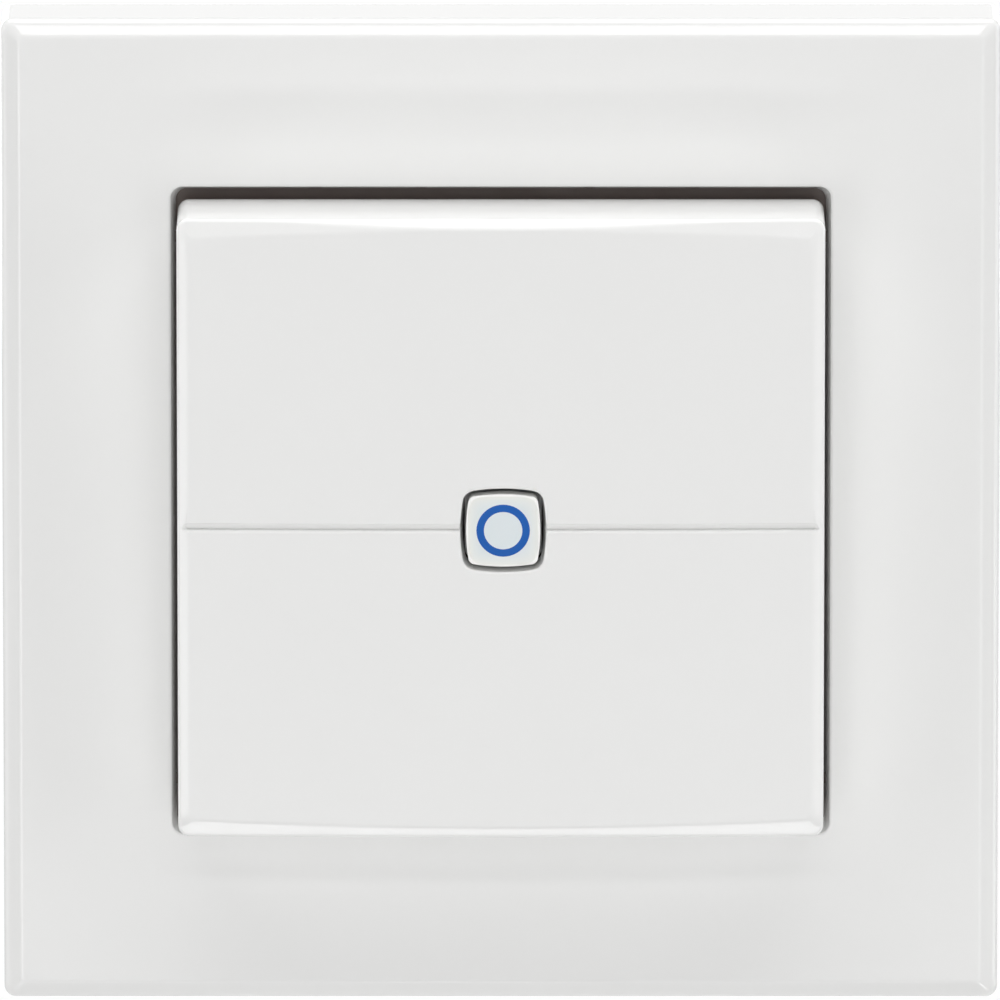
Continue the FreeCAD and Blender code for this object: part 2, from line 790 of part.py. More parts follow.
def radio_module():
    """Small carrier board with a metal can on it."""
    x0, z0 = radio_x - radio_width / 2, radio_z - radio_length / 2
    carrier_front = board_front + radio_carrier_wall
    carrier = block(x0, x0 + radio_width, board_front, carrier_front, z0, z0 + radio_length)
    can_x, can_z = radio_width / 2 - radio_margin, radio_length / 2 - radio_margin
    can = slab(can_x, can_z, radio_corner_radius, board_front, board_front + radio_height, radio_x, radio_z)
    return carrier.fuse(can).removeSplitter()


def microcontroller():
    """Flat square chip with a row of feet on each side."""
    half = chip_side / 2 - chip_foot_reach
    back = board_front + fit_gap
    top = board_front + chip_height
    parts = [block(chip_x - half, chip_x + half, back, top, chip_z - half, chip_z + half)]
    pitch = 2 * half / chip_feet
    wide = pitch / 4
    low, high = board_front, board_front + chip_height / 2
    for number in range(chip_feet):
        at = pitch * (number + 0.5) - half
        for sign in (1, -1):
            near, far = sorted((sign * (half - sink_in), sign * chip_side / 2))
            x, z = chip_x + at, chip_z + at
            parts.append(block(chip_x + near, chip_x + far, low, high, z - wide, z + wide))
            parts.append(block(x - wide, x + wide, low, high, chip_z + near, chip_z + far))
    return fuse_all(parts)


def quartz_crystal():
    """Crystal can lying on the board: a flattened round bar."""
    low = board_front + crystal_radius
    x0, x1 = crystal_x - crystal_length / 2, crystal_x + crystal_length / 2
    centres = (crystal_z - crystal_radius, crystal_z + crystal_radius)
    bars = [cross_rod(x0, x1, low, z, crystal_radius) for z in centres]
    bars.append(block(x0, x1, board_front, board_front + 2 * crystal_radius, centres[0], centres[1]))
    return fuse_all(bars)


def chips(length, width, height, places):
    """Group of small parts with end caps, each its own solid."""
    solids = []
    half_x, half_z = length / 2, width / 2
    for x, z in places:
        body_front = board_front + height - chip_cap_step
        parts = [block(x - half_x, x + half_x, board_front, body_front, z - half_z, z + half_z)]
        for sign in (1, -1):
            near, far = sorted((sign * half_x, sign * (half_x - chip_cap_width)))
            parts.append(block(x + near, x + far, board_front, board_front + height, z - half_z, z + half_z))
        solids.append(fuse_all(parts))
    return Part.makeCompound(solids)


def grid(first_x, first_z, columns, pitch_x, pitch_z):
    """Places in two rows, from the top left one."""
    return [(first_x + pitch_x * i, first_z - pitch_z * j) for i in range(columns) for j in range(2)]


def chip_capacitors():
    """Six capacitors in two rows below the radio."""
    first_z = radio_z - radio_length / 2 - chip_row_gap
    places = grid(radio_x - capacitor_pitch, first_z, 3, capacitor_pitch, 2 * capacitor_width)
    return chips(capacitor_length, capacitor_width, capacitor_height, places)


def chip_resistors():
    """Eight resistors in two rows below the microcontroller."""
    first_z = chip_z - chip_side / 2 - chip_row_gap
    places = grid(chip_x - 1.5 * resistor_pitch, first_z, 4, resistor_pitch, 2.5 * resistor_width)
    return chips(resistor_length, resistor_width, resistor_height, places)


def antenna():
    """Wire along the board's top and right edges, both ends bent down to the board."""
    h = board_front + antenna_height
    start_x = radio_x + radio_width / 2
    bend = antenna_bend_radius
    small = antenna_foot_bend
    diagonal = math.sqrt(0.5)

    def at(x, height, z):
        return V(x, -height, z)

    foot = board_front
    z_top, x_right = antenna_half_z, antenna_half_x
    edges = [
        Part.makeLine(at(start_x, foot, z_top), at(start_x, h - small, z_top)),
        Part.Arc(
            at(start_x, h - small, z_top),
            at(start_x + small * (1 - diagonal), h - small * (1 - diagonal), z_top),
            at(start_x + small, h, z_top),
        ).toShape(),
        Part.makeLine(at(start_x + small, h, z_top), at(x_right - bend, h, z_top)),
        Part.Arc(
            at(x_right - bend, h, z_top),
            at(x_right - bend * (1 - diagonal), h, z_top - bend * (1 - diagonal)),
            at(x_right, h, z_top - bend),
        ).toShape(),
        Part.makeLine(at(x_right, h, z_top - bend), at(x_right, h, antenna_drop_z + small)),
        Part.Arc(
            at(x_right, h, antenna_drop_z + small),
            at(x_right, h - small * (1 - diagonal), antenna_drop_z + small * (1 - diagonal)),
            at(x_right, h - small, antenna_drop_z),
        ).toShape(),
        Part.makeLine(at(x_right, h - small, antenna_drop_z), at(x_right, foot, antenna_drop_z)),
    ]
    profile = Part.Wire([Part.makeCircle(antenna_radius, at(start_x, foot, z_top), V(0, -1, 0))])
    return Part.Wire(edges).makePipeShell([profile], True, False)


def build():
    """Every node by name."""
    return {
        "mounting_plate": mounting_plate(),
        "frame": frame(),
        "housing_base": housing_base(),
        "housing_cover": housing_cover(),
        "housing_screws": housing_screws(),
        "circuit_board": circuit_board(),
        "coin_cell": coin_cell(),
        "battery_contact_positive": battery_contact_positive(),
        "battery_contact_negative": battery_contact_negative(),
        "upper_switch_body": push_switch_body(switch_reach),
        "upper_switch_stem": push_switch_stem(switch_reach),
        "lower_switch_body": push_switch_body(-switch_reach),
        "lower_switch_stem": push_switch_stem(-switch_reach),
        "pairing_switch_body": pairing_switch_body(),
        "pairing_switch_stem": pairing_switch_stem(),
        "indicator_led": indicator_led(),
        "light_guide": light_guide(),
        "ring_inlay": ring_seat(),
        "radio_module": radio_module(),
        "microcontroller": microcontroller(),
        "quartz_crystal": quartz_crystal(),
        "chip_capacitors": chip_capacitors(),
        "chip_resistors": chip_resistors(),
        "antenna": antenna(),
        "rocker": rocker(),
    }


def main():
    """Write one file per node."""
    os.makedirs("parts", exist_ok=True)
    for name, shape in build().items():
        if not shape.isValid():
            print("not valid:", name)
        print(f"{name:28s} solids {len(shape.Solids)} volume {shape.Volume:10.2f}")
        shape.exportStep(f"parts/{name}.step")


main()
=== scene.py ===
import json
import math

import bpy
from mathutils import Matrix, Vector


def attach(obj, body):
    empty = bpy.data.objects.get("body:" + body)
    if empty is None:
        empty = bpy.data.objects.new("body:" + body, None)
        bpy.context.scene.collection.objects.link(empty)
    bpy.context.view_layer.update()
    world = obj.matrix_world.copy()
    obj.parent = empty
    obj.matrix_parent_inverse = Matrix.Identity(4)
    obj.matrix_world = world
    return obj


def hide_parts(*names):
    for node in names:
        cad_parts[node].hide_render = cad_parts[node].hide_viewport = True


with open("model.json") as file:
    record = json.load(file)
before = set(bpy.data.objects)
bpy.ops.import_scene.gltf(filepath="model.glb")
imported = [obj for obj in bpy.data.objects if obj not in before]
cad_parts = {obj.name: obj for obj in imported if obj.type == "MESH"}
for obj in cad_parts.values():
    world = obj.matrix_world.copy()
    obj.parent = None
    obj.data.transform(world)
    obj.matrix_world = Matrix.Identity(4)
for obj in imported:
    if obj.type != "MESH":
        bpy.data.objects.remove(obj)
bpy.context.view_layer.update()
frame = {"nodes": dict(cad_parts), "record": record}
nodes = frame["nodes"]
scene = bpy.context.scene
scene.view_settings.view_transform = "Standard"

# Sizes in millimetres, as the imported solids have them
FRAME_HALF = 43.0
FRAME_DEPTH = 8.0
BEVEL_WIDTH = 1.5
BEVEL_DROP = 0.65
FRAME_INNER = 41.0
HOLLOW_TOP = 6.2
COLLAR_BACK = 6.0
COLLAR_HALF = 29.8
OPENING_HALF = 28.4
ROCKER_X = 27.8
ROCKER_Z = 27.25
CAVITY_X = 26.3
CAVITY_Z = 25.75
CAVITY_RADIUS = 0.6
SKIRT_EDGE = 7.2
FACE_HEIGHT = 16.7
LEAN = 2.5
CROWN = 0.4
SIDE_BAND = 0.95
SIDE_SLOPE = 8.0
END_SLOPE = 14.0
TOP_BAND, TOP_ARCH = 0.85, 0.85
BOTTOM_BAND, BOTTOM_ARCH = 1.0, 0.6
LIP_SLOPE, LIP_WIDTH, LIP_ARCH = 52.0, 0.7, 0.45
WINDOW_HALF = 3.675
WINDOW_CORNER = 1.1
WINDOW_BULGE = 16.0
WINDOW_X = 0.2
WINDOW_BACK = 13.9
LENS_HALF = 3.2
LENS_POWER = 5.0
GROOVE_DEPTH = 0.45
GROOVE_UPPER = 0.6
GROOVE_LOWER = 0.3
GROOVE_END = 0.45

# Sizes that only the skins have, in millimetres
OPENING_DRAFT = 0.4
WINDOW_DRAFT = 0.2
OUTER_CORNER = 1.0
CREST_CORNER = 0.6
COLLAR_CORNER = 2.4
BACK_EDGE = 0.15
SHOULDER_EDGE = 0.75
CREST_EDGE = 1.1
OPENING_EDGE = 0.25
COLLAR_EDGE = 0.1
ROCKER_EDGE = 0.25
WINDOW_EDGE = 0.22
SIDE_BLEND = 0.035
BAND_BLEND = 0.05
LIP_BLEND = 0.22
RIM_STEP = 0.05
RING_STEP = 0.1
RING_REACH = 2.6
WINDOW_STEPS = 24
MM = 0.001

# Camera, floor and light
CAMERA_RISE = 11.0
CAMERA_AWAY = 2.0
PICTURE_WIDTH = 0.0866
AIM_SIDE = -0.00007
AIM_DROP = 0.00015
FLOOR_LEVEL = -1.05
FLOOR_HALF = 12.0
DAYLIGHT = 0.02


def srgb(red, green, blue):
    """Linear colour of an sRGB value from 0 to 255."""
    parts = []
    for value in (red, green, blue):
        v = value / 255
        parts.append(v / 12.92 if v <= 0.04045 else ((v + 0.055) / 1.055) ** 2.4)
    return (*parts, 1.0)


class Surface:
    """A node-based material: one shader, with helpers that vary colour and gloss and add relief."""

    def __init__(self, name, metallic=0.0, coat=0.0, coat_roughness=0.05, specular=0.5):
        self.material = bpy.data.materials.new(name)
        self.material.use_nodes = True
        tree = self.material.node_tree
        self.nodes, self.links = tree.nodes, tree.links
        self.shader = self.nodes["Principled BSDF"]
        self.set("Metallic", metallic)
        self.set("Specular IOR Level", specular)
        self.set("Coat Weight", coat)
        self.set("Coat Roughness", coat_roughness)
        self.where = self.nodes.new("ShaderNodeTexCoord").outputs["Object"]

    def set(self, name, value):
        self.shader.inputs[name].default_value = value

    def noise(self, scale, detail=3.0, rough=0.55, stretch=None):
        """Noise in metres, so a scale of 1000 gives millimetre patches."""
        where = self.where
        if stretch:
            mapping = self.nodes.new("ShaderNodeMapping")
            mapping.inputs["Scale"].default_value = stretch
            self.links.new(where, mapping.inputs["Vector"])
            where = mapping.outputs["Vector"]
        texture = self.nodes.new("ShaderNodeTexNoise")
        texture.inputs["Scale"].default_value = scale
        texture.inputs["Detail"].default_value = detail
        texture.inputs["Roughness"].default_value = rough
        self.links.new(where, texture.inputs["Vector"])
        return texture.outputs["Fac"]

    def ramp(self, factor, low, high, start=0.35, end=0.65):
        ramp = self.nodes.new("ShaderNodeValToRGB")
        ramp.color_ramp.elements[0].position = start
        ramp.color_ramp.elements[0].color = low
        ramp.color_ramp.elements[1].position = end
        ramp.color_ramp.elements[1].color = high
        self.links.new(factor, ramp.inputs["Fac"])
        return ramp.outputs["Color"]

    def span(self, factor, low, high, start=0.3, end=0.7):
        ranged = self.nodes.new("ShaderNodeMapRange")
        ranged.inputs["From Min"].default_value = start
        ranged.inputs["From Max"].default_value = end
        ranged.inputs["To Min"].default_value = low
        ranged.inputs["To Max"].default_value = high
        self.links.new(factor, ranged.inputs["Value"])
        return ranged.outputs["Result"]

    def colour(self, socket):
        self.links.new(socket, self.shader.inputs["Base Color"])

    def gloss(self, socket):
        self.links.new(socket, self.shader.inputs["Roughness"])

    def relief(self, *layers):
        """Stack of bumps, each a factor and its height in metres."""
        last = None
        for factor, height in layers:
            bump = self.nodes.new("ShaderNodeBump")
            bump.inputs["Strength"].default_value = 1.0
            bump.inputs["Distance"].default_value = height
            self.links.new(factor, bump.inputs["Height"])
            if last:
                self.links.new(last, bump.inputs["Normal"])
            last = bump.outputs["Normal"]
        self.links.new(last, self.shader.inputs["Normal"])


def tint(colour, factor):
    return (*(min(1.0, c * factor) for c in colour[:3]), 1.0)


# Scales of noise, per metre
CLOUD = 90
SWELL = 70
TARNISH = 220
PITS = 5000
BRUSH = 1500
BRUSH_DEPTH = 1.0e-6


def moulded(name, colour, rough, variation, grain, depth, swell=0.0, specular=0.5):
    """Injection-moulded plastic: cloudy tone, uneven gloss, fine grain and a broad waviness."""
    made = Surface(name, specular=specular)
    cloud = made.noise(CLOUD, 2.0, 0.4)
    made.colour(made.ramp(cloud, tint(colour, 1 - variation), tint(colour, 1 + variation), 0.2, 0.8))
    made.gloss(made.span(made.noise(350, 3.0), rough * 0.85, rough * 1.2))
    layers = [(made.noise(grain, 2.0, 0.6), depth)]
    if swell:
        layers.append((made.noise(SWELL, 2.0, 0.4), swell))
    made.relief(*layers)
    return made.material


def metal(name, colour, rough, stretch=(1, 1, 1)):
    """Drawn or plated metal: tarnish in patches, brush lines along the part and small pits."""
    made = Surface(name, metallic=1.0)
    patch = made.noise(TARNISH, 5.0)
    made.colour(made.ramp(patch, tint(colour, 0.82), tint(colour, 1.08)))
    made.gloss(made.span(made.noise(600, 4.0), rough * 0.7, rough * 1.4))
    brushed = made.noise(BRUSH, 3.0, 0.6, stretch)
    made.relief((brushed, BRUSH_DEPTH), (made.noise(PITS, 1.0), BRUSH_DEPTH * 0.6))
    return made.material


FRAME_WHITE = srgb(234, 234, 233)
ROCKER_WHITE = srgb(238, 238, 237)

# Name, colour, roughness, then for mouldings variation, grain and its depth, height of the swell and
# specular level, and for metals the stretch of the brush lines
materials = {
    "white_frame": moulded("gloss_white_frame", FRAME_WHITE, 0.07, 0.003, 1800, 0.15e-6, 0.6e-6),
    "white_rocker": moulded("gloss_white_rocker", ROCKER_WHITE, 0.09, 0.003, 1800, 0.15e-6, 0.6e-6, 0.35),
    "blue_mark": moulded("blue_mark", srgb(16, 90, 176), 0.3, 0.06, 3500, 1.0e-6, specular=0.2),
    "dark_unit": moulded("dark_unit", srgb(92, 81, 76), 0.5, 0.08, 3200, 6.0e-6),
    "grey_plate": moulded("grey_plate", srgb(196, 196, 193), 0.5, 0.03, 3000, 6.0e-6),
    "switch_black": moulded("switch_black", srgb(34, 34, 35), 0.5, 0.1, 4000, 5.0e-6),
    "stem_white": moulded("stem_white", srgb(222, 221, 214), 0.45, 0.02, 4000, 3.0e-6),
    "lamp_white": moulded("lamp_white", srgb(238, 236, 222), 0.25, 0.02, 4000, 1.0e-6),
    "chip_black": moulded("chip_black", srgb(30, 30, 32), 0.6, 0.12, 9000, 6.0e-6),
    "ceramic_tan": moulded("ceramic_tan", srgb(186, 150, 112), 0.5, 0.08, 9000, 4.0e-6),
    "cell_steel": metal("cell_steel", srgb(206, 205, 200), 0.28, (1, 1, 14)),
    "contact_metal": metal("contact_metal", srgb(214, 196, 150), 0.3, (20, 1, 1)),
    "can_metal": metal("can_metal", srgb(200, 200, 196), 0.35, (14, 1, 1)),
    "antenna_wire": metal("antenna_wire", srgb(206, 158, 116), 0.3),
    "screw_steel": metal("screw_steel", srgb(196, 198, 202), 0.3, (1, 8, 1)),
}


def board_surface():
    """Solder resist with traces that show through as slightly raised, lighter paths."""
    made = Surface("board_green", coat=0.4, coat_roughness=0.12)
    cells = made.nodes.new("ShaderNodeTexVoronoi")
    cells.distance = "MANHATTAN"
    cells.feature = "F1"
    cells.inputs["Scale"].default_value = 260
    made.links.new(made.where, cells.inputs["Vector"])
    rings = made.span(cells.outputs["Distance"], 0.0, 1.0, 0.42, 0.5)
    made.colour(made.ramp(rings, srgb(16, 74, 42), srgb(30, 104, 60), 0.4, 0.6))
    made.gloss(made.span(made.noise(900, 3.0), 0.22, 0.36))
    made.relief((rings, 2.0e-5), (made.noise(4000, 2.0), 2.0e-6))
    return made.material


def lens_surface():
    """Milky plastic with its own cool tint in the middle, and painted light that makes it warmer and
    lighter further out, as if lit through its edges, with a painted highlight as a bright line that follows
    its outline.
    """
    made = Surface("pale_lens")
    axes = made.nodes.new("ShaderNodeSeparateXYZ")
    made.links.new(made.where, axes.inputs["Vector"])

    def calculate(operation, first, second):
        step = made.nodes.new("ShaderNodeMath")
        step.operation = operation
        for socket, value in zip(step.inputs, (first, second)):
            if isinstance(value, (int, float)):
                socket.default_value = value
            else:
                made.links.new(value, socket)
        return step.outputs[0]

    half = LENS_HALF * MM
    across = calculate("DIVIDE", calculate("SUBTRACT", axes.outputs["X"], WINDOW_X * MM), half)
    upright = calculate("DIVIDE", axes.outputs["Z"], half)
    powers = [calculate("POWER", calculate("ABSOLUTE", way, 0.0), LENS_POWER) for way in (across, upright)]
    reach = calculate("POWER", calculate("ADD", *powers), 1.0 / LENS_POWER)
    # Painted light: the colour gets warmer and lighter towards the edges, standing in for light coming
    # through them
    middle = made.ramp(reach, srgb(221, 229, 232), srgb(236, 237, 232), 0.6, 0.95)
    # Painted highlight: a bright line just inside the outline, where the rounded edge would catch the light
    painted_highlight = made.span(reach, 0.0, 1.0, 0.925, 0.96)
    mix = made.nodes.new("ShaderNodeMix")
    mix.data_type = "RGBA"
    made.links.new(painted_highlight, mix.inputs["Factor"])
    made.links.new(middle, mix.inputs["A"])
    mix.inputs["B"].default_value = srgb(251, 251, 249)
    made.colour(mix.outputs["Result"])
    made.gloss(made.span(made.noise(500, 3.0), 0.1, 0.16))
    made.relief((made.noise(2500, 2.0), 0.3e-6))
    return made.material


materials["board_green"] = board_surface()
materials["pale_lens"] = lens_surface()


def dress(node, slot_name):
    """Give a CAD node its detailed material."""
    thing = nodes[node]
    if not thing.material_slots:
        thing.data.materials.append(None)
    for material_slot in thing.material_slots:
        material_slot.material = materials[slot_name]


def soften(node, width):
    """Round the hard edges of a CAD node by modifiers; its own mesh stays."""
    thing = nodes[node]
    weld = thing.modifiers.new("weld", "WELD")
    weld.merge_threshold = 2e-6
    flat = thing.modifiers.new("flat", "DECIMATE")
    flat.decimate_type = "DISSOLVE"
    flat.angle_limit = math.radians(0.3)
    bevel = thing.modifiers.new("bevel", "BEVEL")
    bevel.width = width
    bevel.segments = 2
    bevel.limit_method = "ANGLE"
    bevel.angle_limit = math.radians(32.0)
    bevel.use_clamp_overlap = True
    bevel.harden_normals = True


for part in frame["record"]["subparts"]:
    dress(part["node"], part["material_slot"])


# Skins swept as rings: every ring has the same number of points, so two rings join into one band of faces

GROOVE_STEP = 0.03
GROOVE_MARKS = [GROOVE_STEP * step for step in range(1, 21)]
FAR_MARKS = [(step / 26) ** 0.9 for step in range(1, 27)]
LEVEL_MARKS = [step / 30 - 1 for step in range(61)]
ARC_STEPS = 10


def quarter(steps, end=math.pi / 2):
    """Angles from nought to the end, in equal steps."""
    return [end * step / steps for step in range(steps + 1)]


def along_side(flat):
    """Places along an upright side: close together at the middle, where the groove crosses it."""
    near = GROOVE_MARKS[-1]
    upper = GROOVE_MARKS + [near + (flat - near) * mark for mark in FAR_MARKS]
    return [-place for place in reversed(upper)] + [0.0] + upper


def around(half_x, half_z, radius):
    """Rounded rectangle as points (x, z), anticlockwise from the lower end of its right side."""
    flat_x, flat_z = half_x - radius, half_z - radius
    upright = along_side(flat_z)
    level = [flat_x * mark for mark in LEVEL_MARKS]
    points = []
    arc = quarter(ARC_STEPS)[1:-1]
    points += [(half_x, z) for z in upright]
    points += [(flat_x + radius * math.cos(a), flat_z + radius * math.sin(a)) for a in arc]
    points += [(-x, half_z) for x in level]
    points += [(-flat_x - radius * math.sin(a), flat_z + radius * math.cos(a)) for a in arc]
    points += [(-half_x, -z) for z in upright]
    points += [(-flat_x - radius * math.cos(a), -flat_z - radius * math.sin(a)) for a in arc]
    points += [(x, -half_z) for x in level]
    points += [(flat_x + radius * math.sin(a), -flat_z - radius * math.cos(a)) for a in arc]
    return points


def square(half, radius):
    return around(half, half, radius)


def rocker_outline(inset, radius=None):
    """The rocker's outline, drawn in; its corners get tighter unless a radius is given."""
    if radius is None:
        radius = OUTER_CORNER - inset
    return around(ROCKER_X - inset, ROCKER_Z - inset, radius)


def around_window(grow):
    """The window's outline, sides bulged, with as many points as a rounded rectangle."""
    half, corner, bulge = WINDOW_HALF + grow, WINDOW_CORNER + grow, WINDOW_BULGE + grow
    offset = half - bulge
    spread = bulge - corner
    centre = (offset + math.sqrt(2 * spread ** 2 - offset ** 2)) / 2
    reach = math.hypot(centre, centre - offset)
    side_end = centre / reach * bulge
    first = math.atan2(centre, centre - offset)
    last = math.pi / 2 - first
    arc = [first + (last - first) * step / ARC_STEPS for step in range(1, ARC_STEPS)]
    upright = along_side(side_end)
    level = [side_end * mark for mark in LEVEL_MARKS]

    def out(place):
        return offset + math.sqrt(bulge ** 2 - place ** 2)

    points = [(out(z), z) for z in upright]
    points += [(centre + corner * math.cos(a), centre + corner * math.sin(a)) for a in arc]
    points += [(-x, out(x)) for x in level]
    points += [(-centre - corner * math.sin(a), centre + corner * math.cos(a)) for a in arc]
    points += [(-out(z), -z) for z in upright]
    points += [(-centre - corner * math.cos(a), -centre - corner * math.sin(a)) for a in arc]
    points += [(x, -out(x)) for x in level]
    points += [(centre + corner * math.sin(a), -centre - corner * math.cos(a)) for a in arc]
    return [(x + WINDOW_X, z) for x, z in points]


def at_height(points, height):
    return [(x, -height, z) for x, z in points]


def leaning(x, z, start, slope, sagitta, way=1.0):
    """Height of a surface that leans by slope from a line on the face, crowned across by its sagitta."""
    tilt = math.radians(slope)
    radius = (ROCKER_X ** 2 + sagitta ** 2) / (2 * sagitta)
    sag = radius - math.sqrt(radius ** 2 - x ** 2)
    base = FACE_HEIGHT + start * math.tan(math.radians(LEAN))
    return base + (z - start) * math.tan(tilt) - way * sag / math.cos(tilt)


def soft_lower(first, second, blend):
    """The lower of two heights, rounded where they meet."""
    near = max(blend - abs(first - second), 0.0) / blend
    return min(first, second) - blend * near * near / 4


def groove_at(x, z):
    """Depth of the groove: a long soft flank above its lowest line, a tight round edge below it."""
    past = max(abs(x) - (ROCKER_X - GROOVE_END - GROOVE_DEPTH), 0.0) / GROOVE_DEPTH
    flank = GROOVE_UPPER if z > 0 else GROOVE_LOWER
    inward = max(1.0 - math.hypot(past, z / flank), 0.0)
    if z > 0:
        return GROOVE_DEPTH * inward ** 0.8
    return GROOVE_DEPTH * (1.0 - math.sqrt(1.0 - inward ** 2))


def face_at(x, z):
    """Height of the rocker's front above the wall."""
    x_in = min(abs(x), ROCKER_X)
    band = math.tan(math.radians(END_SLOPE))
    height = leaning(x_in, z, 0.0, LEAN, CROWN)
    edge = ROCKER_X - SIDE_BAND
    drop = CROWN * (edge / ROCKER_X) ** 2 + (x_in - edge) * math.tan(math.radians(SIDE_SLOPE))
    tilt = math.radians(LEAN)
    side = FACE_HEIGHT + z * math.tan(tilt) - drop / math.cos(tilt)
    height = soft_lower(height, side, SIDE_BLEND)
    top = leaning(x_in, z, ROCKER_Z - TOP_BAND, LEAN - END_SLOPE, CROWN + TOP_ARCH * band)
    height = soft_lower(height, top, BAND_BLEND)
    bottom = leaning(x_in, z, BOTTOM_BAND - ROCKER_Z, LEAN + END_SLOPE, CROWN + BOTTOM_ARCH * band)
    height = soft_lower(height, bottom, BAND_BLEND)
    lip = leaning(x_in, z, ROCKER_Z - LIP_WIDTH, LEAN - LIP_SLOPE, LIP_ARCH, -1.0)
    height = soft_lower(height, lip, LIP_BLEND)
    return height - groove_at(x, z)


def skin(name, rings, inside, body, node, slot_name):
    """One piece from swept rings and the inner faces of the solid that it stands for."""
    count = len(rings[0])
    points = [(x * MM, y * MM, z * MM) for ring in rings for x, y, z in ring]
    faces = []
    for number in range(len(rings) - 1):
        low, high = number * count, (number + 1) * count
        for i in range(count):
            j = (i + 1) % count
            faces.append((low + i, low + j, high + j, high + i))
    solid = nodes[node].data
    kept = {}
    for polygon in solid.polygons:
        if not inside(*(v / MM for v in polygon.center)):
            continue
        corners = []
        for index in polygon.vertices:
            spot = tuple(round(v, 7) for v in solid.vertices[index].co)
            if spot not in kept:
                kept[spot] = len(points)
                points.append(spot)
            corners.append(kept[spot])
        if len(set(corners)) == len(corners):
            faces.append(tuple(corners))
    mesh = bpy.data.meshes.new(name)
    mesh.from_pydata(points, [], faces)
    mesh.validate()
    for polygon in mesh.polygons:
        polygon.use_smooth = True
    mesh.set_sharp_from_angle(angle=math.radians(35))
    mesh.materials.append(materials[slot_name])
    made = bpy.data.objects.new(name, mesh)
    bpy.context.collection.objects.link(made)
    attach(made, body)
    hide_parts(node)


def rocker_skin():
    """The rocker's outside with soft edges, bands, groove and window; its inside is the solid's own."""
    rings = [at_height(around(CAVITY_X, CAVITY_Z, CAVITY_RADIUS), SKIRT_EDGE)]
    rings.append(at_height(rocker_outline(BACK_EDGE + RIM_STEP, 0.8), SKIRT_EDGE))
    for turn in quarter(4):
        inset = BACK_EDGE * (1 - math.sin(turn))
        rings.append(at_height(rocker_outline(inset), SKIRT_EDGE + BACK_EDGE * (1 - math.cos(turn))))
    start = SKIRT_EDGE + BACK_EDGE
    for share in (0.05, 0.5, 0.97):
        points = rocker_outline(0.0)
        rings.append([(x, -(start + (face_at(x, z) - ROCKER_EDGE - start) * share), z) for x, z in points])
    for turn in quarter(7):
        points = rocker_outline(ROCKER_EDGE * (1 - math.cos(turn)))
        rings.append([(x, -(face_at(x, z) - ROCKER_EDGE * (1 - math.sin(turn))), z) for x, z in points])
    inset = ROCKER_EDGE + 0.06
    while inset < RING_REACH:
        points = rocker_outline(inset, max(OUTER_CORNER - inset, 0.3))
        rings.append([(x, -face_at(x, z), z) for x, z in points])
        inset += RING_STEP
    outer = points
    inner = around_window(WINDOW_EDGE + RIM_STEP)
    for step in range(1, WINDOW_STEPS + 1):
        share = (step / WINDOW_STEPS) ** 0.85
        mixed = [(a + (c - a) * share, b + (d - b) * share) for (a, b), (c, d) in zip(outer, inner)]
        rings.append([(x, -face_at(x, z), z) for x, z in mixed])
    for turn in quarter(6):
        points = around_window(WINDOW_EDGE * (1 - math.sin(turn)))
        rings.append([(x, -(face_at(x, z) - WINDOW_EDGE * (1 - math.cos(turn))), z) for x, z in points])
    for height, share in ((15.9, 0.2), (15.0, 0.7), (WINDOW_BACK, 1.0), (WINDOW_BACK, 0.0)):
        rings.append(at_height(around_window(-WINDOW_DRAFT * share), height))

    slack, thinnest, near = 0.05, 0.6, 0.02

    def inside(x, y, z):
        """True for the solid's faces in its cavity, away from its front and its window."""
        height = -y
        if abs(x) > CAVITY_X + slack or abs(z) > CAVITY_Z + slack:
            return False
        if height > face_at(x, z) - thinnest or height < SKIRT_EDGE + near / 2:
            return False
        reach = max(abs(x - WINDOW_X), abs(z))
        return reach > WINDOW_HALF + 0.08 or height < WINDOW_BACK + near

    skin("rocker_shell", rings, inside, "rocker", "rocker", "white_rocker")


